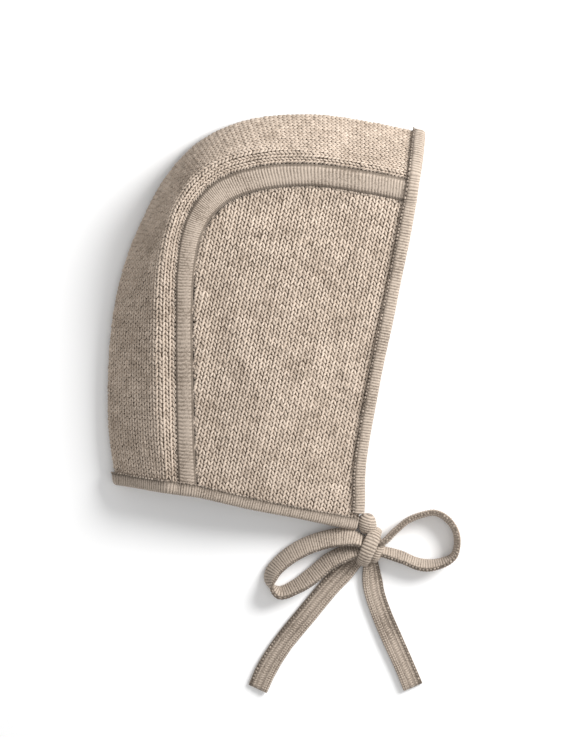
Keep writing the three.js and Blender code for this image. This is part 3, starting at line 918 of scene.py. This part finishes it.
# ------------------------------------------------------------------ knots
def ribbed_lump(centre, half, turn, rib_turn, spacing=1.15 * MM, depth=0.4 * MM):
    """A rounded lump of folded tape, with ribs across it."""
    def build(bm):
        bmesh.ops.create_uvsphere(bm, u_segments=88, v_segments=60, radius=1.0)

    mesh = mesh_from(build)
    ball = coordinates(mesh)
    boxy = np.sign(ball) * np.abs(ball) ** 0.86
    lump = boxy * np.asarray(half)
    along = lump[:, 0] * math.cos(rib_turn) + lump[:, 1] * math.sin(rib_turn) + 0.25 * lump[:, 2]
    relief = ribs(along, spacing)
    lump = lump + unit(ball) * (depth * (relief - 0.5))[:, None]
    # painted shade: the ribs' relief also sets the tone, darker in the grooves
    set_tone_and_shade(mesh, relief)
    spin = np.array(Matrix.Rotation(turn, 3, "Z"))
    set_coordinates(mesh, on_floor(lump @ spin.T + centre))
    return mesh


def wrap_mesh(centre, toward, reach, rise, width, thickness, sides=56, steps=150):
    """A stretch of tape that comes up at one side of a knot, over it and down at the other."""
    toward = np.array([*toward, 0.0]) / np.linalg.norm(toward)
    beside = np.array([-toward[1], toward[0], 0.0])
    angle_from, angle_to = math.radians(-38), math.radians(218)
    length = (angle_to - angle_from) * (reach + rise) / 2

    def place(around, along):
        angle = angle_from + (angle_to - angle_from) * along
        outward = np.cos(angle)[:, None] * toward + np.sin(angle)[:, None] * np.array([0, 0, 1.0])
        middle = centre + np.cos(angle)[:, None] * toward * reach
        middle = middle + np.sin(angle)[:, None] * np.array([0, 0, rise])
        pinch = 1 - 0.16 * np.cos(angle) ** 2
        x, y = rounded_bar(around, width, thickness, 0.6)
        edge = np.abs(2 * x / width)
        relief = ribs(along * length, 1.15 * MM)
        y = y + np.sign(y) * (0.42 * MM * relief + 0.5 * MM * (1 - edge**2))
        # painted shade: the ribs' relief also sets the tone, darker in the grooves
        return on_floor(middle + beside * (x * pinch)[:, None] + outward * y[:, None]), relief

    return rolled_tube(steps, sides, place)


class BONNET_OT_knots(bpy.types.Operator):
    """Builds the half knot at the front corner and the bow's wrap"""

    bl_idname = "bonnet.knots"
    bl_label = "Knots"

    def execute(self, context):
        knob = ribbed_lump(np.array([44.5, -89.6, 6.5]) * MM, np.array([4.0, 4.5, 4.9]) * MM,
                           math.radians(12), math.radians(62), depth=0.42 * MM)
        wrap = wrap_mesh(np.array([45.4, -99.8, 4.4]) * MM, (-0.40, -0.92), 7.4 * MM, 6.0 * MM,
                         6.6 * MM, 2.2 * MM)
        core = ribbed_lump(np.array([45.8, -100.6, 4.9]) * MM, np.array([4.4, 7.0, 4.6]) * MM,
                           -0.42, math.radians(80))
        fold = ribbed_lump(np.array([49.2, -102.2, 5.6]) * MM, np.array([2.4, 5.2, 4.4]) * MM,
                           -0.45, math.radians(100))
        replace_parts(add_piece("corner_knot_knob", knob, "binding_yarn"), "corner_knot")
        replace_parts(add_piece("bow_knot_wrap", wrap, "binding_yarn"), "bow_knot")
        add_piece("bow_knot_core", core, "tie_yarn")
        add_piece("bow_knot_side_fold", fold, "binding_yarn")
        return {"FINISHED"}


# ------------------------------------------------------------------ panels
SHELL = 0.9 * MM              # thickness of the cloth shell under the stitches
SHELL_SINK = 0.05 * MM        # how far its face lies under the middle of the wall
STITCH_RISE = 0.36 * MM       # height of the stitches' middle over the middle of the wall


def shell_of(surface, cells_across, cells_along):
    def place(a, b):
        return surface.at(a, b, -SHELL_SINK + 0 * a)

    return cloth_shell(cells_across, cells_along, place, SHELL)


# How far a side panel's pattern goes past its back, face, neck and top edges, as shares of its size
WIDE_MARGIN = (0.03, 0.03, 0.03, 0.03)
KEPT_MARGIN = (0.012, -0.004, -0.004, 0.012)


class PlanDrape:
    """Lays flat patterns straight down on a surface, seen from above or from below."""

    def __init__(self, surface, below=False):
        self.way = -1.0 if not below else 1.0
        self.wide = self.tree_of(self.grown(surface, WIDE_MARGIN))
        self.kept = self.tree_of(self.grown(surface, KEPT_MARGIN))

    @staticmethod
    def grown(surface, margin):
        """The surface's grid, carried on straight past its edges by a share of its size."""
        count = surface.points.shape[0]
        low_a, high_a, low_b, high_b = margin
        a, b = np.meshgrid(
            np.linspace(-low_a, 1 + high_a, count), np.linspace(-low_b, 1 + high_b, count),
            indexing="ij")
        full, near = np.ones_like(a), 0.02
        grown = surface.at(a, b)
        for past, edge, inside in (
            (a - 1, surface.at(full, b), surface.at(full - near, b)),
            (-a, surface.at(0 * full, b), surface.at(near * full, b)),
            (b - 1, surface.at(a, full), surface.at(a, full - near)),
            (-b, surface.at(a, 0 * full), surface.at(a, near * full)),
        ):
            grown = grown + (edge - inside) / near * np.maximum(past, 0)[..., None]
        return grown

    @staticmethod
    def tree_of(points):
        rows, columns = points.shape[:2]
        number = np.arange(rows * columns).reshape(rows, columns)
        cells = np.stack([number[:-1, :-1], number[1:, :-1], number[1:, 1:], number[:-1, 1:]], -1)
        return BVHTree.FromPolygons(points.reshape(-1, 3).tolist(), cells.reshape(-1, 4).tolist())

    def cast(self, tree, x, y):
        start = -self.way * 0.1
        return tree.ray_cast(Vector((x, y, start)), Vector((0, 0, self.way)))

    def covers(self, x, y):
        return np.array([self.cast(self.kept, *at)[0] is not None for at in zip(x, y)])

    def place(self, x, y, height):
        points = np.zeros((len(x), 3))
        for k, at in enumerate(zip(x, y)):
            hit, normal, _, _ = self.cast(self.wide, *at)
            if hit is None:
                hit, normal, _, _ = self.wide.find_nearest(Vector((*at, 0.01)))
                hit = Vector((*at, hit.z))
            if normal.z * self.way > 0:
                normal = -normal
            points[k] = hit + normal * float(height[k])
        return points


def leaning_field(drape, sizes, unit_mesh, low, high):
    """Stitches in straight leaning columns over a side panel."""
    cosine, sine = math.cos(sizes.lean), math.sin(sizes.lean)
    columns = int((high[0] - low[0] + (high[1] - low[1]) * sine) / sizes.wale) + 2
    rows = int((high[1] - low[1] + (high[0] - low[0]) * sine) / sizes.course) + 2
    start = np.array([low[0] - (high[1] - low[1]) * sine, low[1]])

    def turned(x, y):
        return start[0] + x * cosine + y * sine, start[1] - x * sine + y * cosine

    def place(x, y, height):
        return drape.place(*turned(x, y), height + STITCH_RISE)

    def inside(x, y):
        return drape.covers(*turned(x, y))

    return knitted(unit_mesh, columns, rows, sizes.wale, sizes.course, place, inside)


class BONNET_OT_side_panels(bpy.types.Operator):
    """Builds the two side panels, each a cloth shell with its stitches"""

    bl_idname = "bonnet.side_panels"
    bl_label = "Side panels"

    def execute(self, context):
        sizes = context.scene.bonnet_sizes
        panels = (("side_panel_near", NEAR_SIDE, False, 6, 4), ("side_panel_far", FAR_SIDE, True, 4, 3))
        for name, surface, below, sides, rings in panels:
            # the cloth shell under the stitches is a dark sheet of painted shade
            cloth = add_piece(f"{name}_cloth", shell_of(surface, 56, 72), "gap_shade")
            corners = surface.points.reshape(-1, 3)
            stitch = stitch_mesh(sizes.wale, sizes.course, sizes.yarn, sides, rings)
            drape = PlanDrape(surface, below)
            field = leaning_field(drape, sizes, stitch, corners.min(0), corners.max(0))
            if below:
                set_coordinates(field, on_floor(coordinates(field)))
            stitches = add_piece(f"{name}_stitches", field, "panel_yarn")
            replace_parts(cloth, name)
        return {"FINISHED"}


class BONNET_OT_centre_panel(bpy.types.Operator):
    """Builds the long centre panel, folded along its middle, with its stitches"""

    bl_idname = "bonnet.centre_panel"
    bl_label = "Centre panel"

    def execute(self, context):
        sizes = context.scene.bonnet_sizes
        # the cloth shell under the stitches is a dark sheet of painted shade
        cloth = add_piece("centre_panel_cloth", shell_of(CENTRE, 44, 120), "gap_shade")
        wale, course = 2.9 * MM, 1.8 * MM
        courses = sizes.centre_courses
        halves = (("near", 0.0, sizes.centre_wales, 6, 4), ("far", 0.5, sizes.centre_wales - 2, 4, 3))
        for name, start, wales, sides, rings in halves:
            def place(x, y, height, start=start, wales=wales):
                a = start + 0.5 * (x / wale + 0.5) / wales
                return CENTRE.at(a, 1 - (y / course + 0.5) / courses, height + STITCH_RISE)

            stitch = stitch_mesh(wale, course, sizes.yarn, sides, rings)
            field = knitted(stitch, wales, courses, wale, course, place, seed=SEED + 1)
            set_coordinates(field, on_floor(coordinates(field)))
            add_piece(f"centre_panel_stitches_{name}", field, "centre_yarn")
        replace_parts(cloth, "centre_panel")
        return {"FINISHED"}


# ------------------------------------------------------------------ bands and bindings
CHAIN_SPACING = 1.55 * MM     # of the linked loops along bands and bindings


def band_mesh(surface, length, width, sides, steps, spacing, thickness=1.7 * MM):
    """A flat fine-gauge strip with ribs across it."""
    def place(around, along):
        x, y = rounded_bar(around, 1.0, thickness - 0.3 * MM, 0.4)
        side = np.clip(0.5 + x, 0, 1)
        distance = along * length
        edge = np.abs(2 * x)
        rib, knit = ribs(distance, spacing), fine_knit(side * width, distance, 1.3 * MM, spacing)
        y = y + np.sign(y) * MM * (0.34 * rib + 0.16 * knit) * (1 - 0.7 * edge**6)
        points = surface.at(side, along, y)
        # painted shade: the tone follows the ribs, darker in their grooves and in the groove under the
        # chains
        chain_groove_shade = smooth(0.62, 0.86, edge)
        return on_floor(points), (0.6 * rib + 0.4 * knit) * (1 - chain_groove_shade)

    return rolled_tube(steps, sides, place)


def edge_chain(surface, side, out, height, length, spacing=CHAIN_SPACING):
    """A row of linked loops along an edge of a band, a little way out from it."""
    count = int(length / spacing)

    def place(x, y, rise):
        b = np.clip((y + 0.5 * spacing) / length, 0, 1)
        points = surface.at(side + 0 * b, b, rise + height)
        beside = unit(surface.at(0.55 + 0 * b, b) - surface.at(0.45 + 0 * b, b))
        return points + beside * (x + out)[:, None]

    bead = bead_mesh(spacing * 0.82, 1.35 * MM, 1.0 * MM)
    return knitted(bead, 1, count, spacing, spacing, place)


def line_length(points):
    return np.linalg.norm(np.diff(points, axis=0), axis=1).sum()


class BONNET_OT_seam_bands(bpy.types.Operator):
    """Builds the flat bands along the two seams, the near one with its linked edges"""

    bl_idname = "bonnet.seam_bands"
    bl_label = "Seam bands"

    def execute(self, context):
        near_length = line_length(NEAR_BAND.points[NEAR_BAND_CELLS[0] // 2])
        strip = band_mesh(NEAR_BAND, near_length, 9.6 * MM, 42, 900, 1.35 * MM)
        near = add_piece("seam_band_near_strip", strip, "band_yarn")
        # place, side of the band, distance out from it, height over it
        for place, side, out, height in (
            ("outer", 0, -0.3 * MM, 0.6 * MM),
            ("inner", 1, 0.55 * MM, 0.45 * MM),
        ):
            chain = edge_chain(NEAR_BAND, side, out, height, near_length)
            add_piece(f"seam_band_near_chain_{place}", chain, "binding_yarn")
        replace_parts(near, "seam_band_near")
        far_length = line_length(FAR_BAND_SHEET.points[FAR_BAND_CELLS[0] // 2])
        rib = context.scene.bonnet_sizes.rib
        strip = band_mesh(FAR_BAND_SHEET, far_length, FAR_BAND, 20, 420, rib)
        far = add_piece("seam_band_far_strip", strip, "band_yarn")
        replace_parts(far, "seam_band_far")
        return {"FINISHED"}


def edge_line(pieces, trim):
    """Stations along cut edges: places on the edge, and places a little way in from it."""
    at = np.vstack([piece[0] for piece in pieces])
    inside = np.vstack([piece[1] for piece in pieces])
    run = np.concatenate([[0], np.cumsum(np.linalg.norm(np.diff(at, axis=0), axis=1))])
    even = np.arange(trim, run[-1] - trim, 0.25 * MM)
    window = np.hanning(19)
    window /= window.sum()

    def soft(line):
        line = np.stack([np.interp(even, run, line[:, k]) for k in range(3)], -1)
        padded = np.vstack([2 * line[0] - line[9:0:-1], line, 2 * line[-1] - line[-2:-11:-1]])
        return np.stack([np.convolve(padded[:, k], window, "valid") for k in range(3)], -1)

    return soft(at), soft(inside)


def side_of(surface, row=None, column=None, reverse=False):
    """An edge of a surface's grid, with the line three cells in from it."""
    points = surface.points if row is not None else surface.points.swapaxes(0, 1)
    index = row if row is not None else column
    inner = index + 3 if index == 0 else index - 3
    edge, inside = points[index], points[inner]
    return (edge[::-1], inside[::-1]) if reverse else (edge, inside)


class BindingLine:
    """The line that a binding is folded over, with its outward and outer-face directions."""

    def __init__(self, pieces, trim, flip):
        self.at, inside = edge_line(pieces, trim)
        tangent = unit(np.gradient(self.at, axis=0))
        outward = self.at - inside
        outward = unit(outward - tangent * (outward * tangent).sum(-1, keepdims=True))
        self.outward = outward
        self.face = np.cross(outward, tangent) * (-1 if flip else 1)
        self.length = line_length(self.at)

    def frame(self, share):
        x = np.clip(share, 0, 1) * (len(self.at) - 1)
        numbers = np.arange(len(self.at))

        def read(values):
            return np.stack([np.interp(x, numbers, values[:, k]) for k in range(3)], -1)

        return read(self.at), unit(read(self.outward)), unit(read(self.face))


def channel_section(sides):
    """Section of a binding: a round outside, and a slot that holds the cloth's edge."""
    angles = np.radians(np.linspace(-90, 90, 15))
    outside = np.stack([EDGE * np.cos(angles) ** 0.8, HALF * np.sin(angles)], -1)
    flat = [[-LIP + 0.5 * MM, -HALF], [-LIP * 0.5, -HALF]]
    top = [[-LIP * 0.5, HALF], [-LIP + 0.5 * MM, HALF], [-LIP, HALF - 0.5 * MM]]
    slot = [[-LIP, SLOT], [0.3 * MM, SLOT], [0.3 * MM, -SLOT], [-LIP, -SLOT]]
    ring = np.vstack([[-LIP, -HALF + 0.5 * MM], flat, outside, top, slot, [-LIP, -HALF + 0.5 * MM]])
    run = np.concatenate([[0], np.cumsum(np.linalg.norm(np.diff(ring, axis=0), axis=1))])
    even = np.linspace(0, run[-1], sides + 1)
    return np.stack([np.interp(even, run, ring[:, k]) for k in range(2)], -1)


def binding_mesh(line, spacing, sides=40, step=0.29 * MM):
    """A binding: the channel section carried along its line, with ribs across its outside."""
    section = channel_section(sides)
    slot_side = (np.abs(section[:, 1]) < SLOT + 0.05 * MM) & (section[:, 0] < 0.4 * MM)
    steps = int(line.length / step)

    def place(around, along):
        column = np.round(around * sides).astype(int)
        x, y = section[column, 0], section[column, 1]
        at, outward, face = line.frame(along)
        distance = along * line.length
        rib = ribs(distance, spacing)
        swell = 0.40 * MM * (rib - 0.6) + 0.12 * MM * np.sin(distance / (6.1 * MM))
        swell = np.where(slot_side[column], 0, swell)
        radial = unit(np.stack([np.maximum(x, 0) / EDGE, y / HALF], -1))
        x, y = x + radial[:, 0] * swell, y + radial[:, 1] * swell
        points = at + outward * x[:, None] + face * y[:, None]
        # painted shade: the tone follows the ribs, darker in their grooves and in the groove under the
        # lip chain
        chain_groove_shade = np.exp(-((x + LIP) / (1.1 * MM)) ** 2)
        return on_floor(points), rib * (1 - chain_groove_shade)

    return rolled_tube(steps, sides, place)


def lip_chain(line, spacing=CHAIN_SPACING):
    """The row of linked loops along a binding's inner edge."""
    count = int(line.length / spacing)

    def place(x, y, rise):
        at, outward, face = line.frame((y + 0.5 * spacing) / line.length)
        return on_floor(
            at + outward * (-LIP + 0.05 * MM + x)[:, None] + face * (HALF - 0.1 * MM + rise)[:, None])

    bead = bead_mesh(spacing * 0.76, 1.0 * MM, 0.95 * MM)
    return knitted(bead, 1, count, spacing, spacing, place)


class BONNET_OT_bindings(bpy.types.Operator):
    """Builds the bindings folded over the face edge and the neck edge"""

    bl_idname = "bonnet.bindings"
    bl_label = "Bindings"

    def execute(self, context):
        face_line = BindingLine([
            side_of(NEAR_SIDE, row=SIDE_CELLS),
            side_of(NEAR_BAND, column=0, reverse=True),
            side_of(CENTRE, column=0),
            side_of(FAR_BAND_SHEET, column=0),
            side_of(FAR_SIDE, row=FAR_SIDE_CELLS, reverse=True),
        ], FACE_BINDING_TRIM, False)
        neck_line = BindingLine([
            side_of(NEAR_SIDE, column=0, reverse=True),
            side_of(NEAR_BAND, column=NEAR_BAND_CELLS[1], reverse=True),
            side_of(CENTRE, column=CENTRE_LENGTH),
            side_of(FAR_BAND_SHEET, column=FAR_BAND_CELLS[1]),
            side_of(FAR_SIDE, column=0),
        ], 0, True)
        bindings = (("face_binding", face_line, 1.25 * MM), ("neck_binding", neck_line, 1.09 * MM))
        for name, line, spacing in bindings:
            fold = add_piece(f"{name}_fold", binding_mesh(line, spacing), "binding_yarn")
            add_piece(f"{name}_chain", lip_chain(line), "binding_yarn")
            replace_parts(fold, name)
        return {"FINISHED"}


# ------------------------------------------------------------------ camera and stage
CAMERA_DISTANCE = 2.0
VIEW_HEIGHT = 0.3272          # of the picture, at the height of the bonnet's middle
VIEW_CENTRE = (0.0080, -0.0206)
FOCUS_HEIGHT = 0.012          # height of the bonnet's middle
SENSOR_WIDTH = 36


class BONNET_OT_camera(bpy.types.Operator):
    """Adds the camera, straight above the bonnet"""

    bl_idname = "bonnet.camera"
    bl_label = "Camera"

    def execute(self, context):
        camera = bpy.data.objects.new("camera", bpy.data.cameras.new("camera"))
        camera.data.sensor_width = SENSOR_WIDTH
        camera.data.lens = SENSOR_WIDTH * CAMERA_DISTANCE / VIEW_HEIGHT
        camera.location = (*VIEW_CENTRE, FOCUS_HEIGHT + CAMERA_DISTANCE)
        camera.data.clip_end = 10
        context.scene.collection.objects.link(camera)
        context.scene.camera = camera
        return {"FINISHED"}


def area_light(name, place, target, size, power):
    light = bpy.data.lights.new(name, "AREA")
    light.shape = "DISK"
    light.size, light.energy = size, power
    lamp = bpy.data.objects.new(name, light)
    lamp.location = place
    lamp.rotation_euler = (Vector(target) - Vector(place)).to_track_quat("-Z", "Y").to_euler()
    bpy.context.scene.collection.objects.link(lamp)


class BONNET_OT_stage(bpy.types.Operator):
    """Adds the plain floor and the soft studio light"""

    bl_idname = "bonnet.stage"
    bl_label = "Stage"

    def execute(self, context):
        def build(bm):
            bmesh.ops.create_grid(bm, x_segments=2, y_segments=2, size=4)

        floor = bpy.data.objects.new("floor", mesh_from(build, "floor"))
        floor.data.materials.append(finish_of("floor"))
        context.scene.collection.objects.link(floor)
        area_light("key", (0.49, 0.24, 0.42), (0.0, 0.0, 0.0), 0.36, 6.3)
        area_light("fill", (0.3, -0.4, 2.0), (0, 0, 0), 1.6, 8)
        world = bpy.data.worlds.new("soft_room")
        world.use_nodes = True
        world.node_tree.nodes["Background"].inputs["Color"].default_value = (1, 1, 1, 1)
        world.node_tree.nodes["Background"].inputs["Strength"].default_value = 0.50
        context.scene.world = world
        context.scene.view_settings.view_transform = "Standard"
        return {"FINISHED"}


# ------------------------------------------------------------------ the add-on
PIECES = (
    BONNET_OT_camera, BONNET_OT_ties, BONNET_OT_knots, BONNET_OT_side_panels,
    BONNET_OT_centre_panel, BONNET_OT_seam_bands, BONNET_OT_bindings, BONNET_OT_stage,
)


class BONNET_PT_panel(bpy.types.Panel):
    """Lists the bonnet's sizes, colours and pieces"""

    bl_idname = "BONNET_PT_panel"
    bl_label = "Knitted baby bonnet"
    bl_space_type = "VIEW_3D"
    bl_region_type = "UI"
    bl_category = "Bonnet"

    def draw(self, context):
        for group in (context.scene.bonnet_sizes, context.scene.bonnet_colours):
            for name in group.bl_rna.properties.keys():
                if name not in ("rna_type", "name"):
                    self.layout.prop(group, name)
        for piece in PIECES:
            self.layout.operator(piece.bl_idname)


CLASSES = (BonnetSizes, BonnetColours, *PIECES, BONNET_PT_panel)


def register():
    for item in CLASSES:
        bpy.utils.register_class(item)
    bpy.types.Scene.bonnet_sizes = bpy.props.PointerProperty(type=BonnetSizes)
    bpy.types.Scene.bonnet_colours = bpy.props.PointerProperty(type=BonnetColours)


def unregister():
    del bpy.types.Scene.bonnet_colours
    del bpy.types.Scene.bonnet_sizes
    for item in reversed(CLASSES):
        bpy.utils.unregister_class(item)


def main():
    register()
    for piece in PIECES:
        group, name = piece.bl_idname.split(".")
        getattr(getattr(bpy.ops, group), name)()
    bpy.context.view_layer.update()


if __name__ == "__main__":
    main()
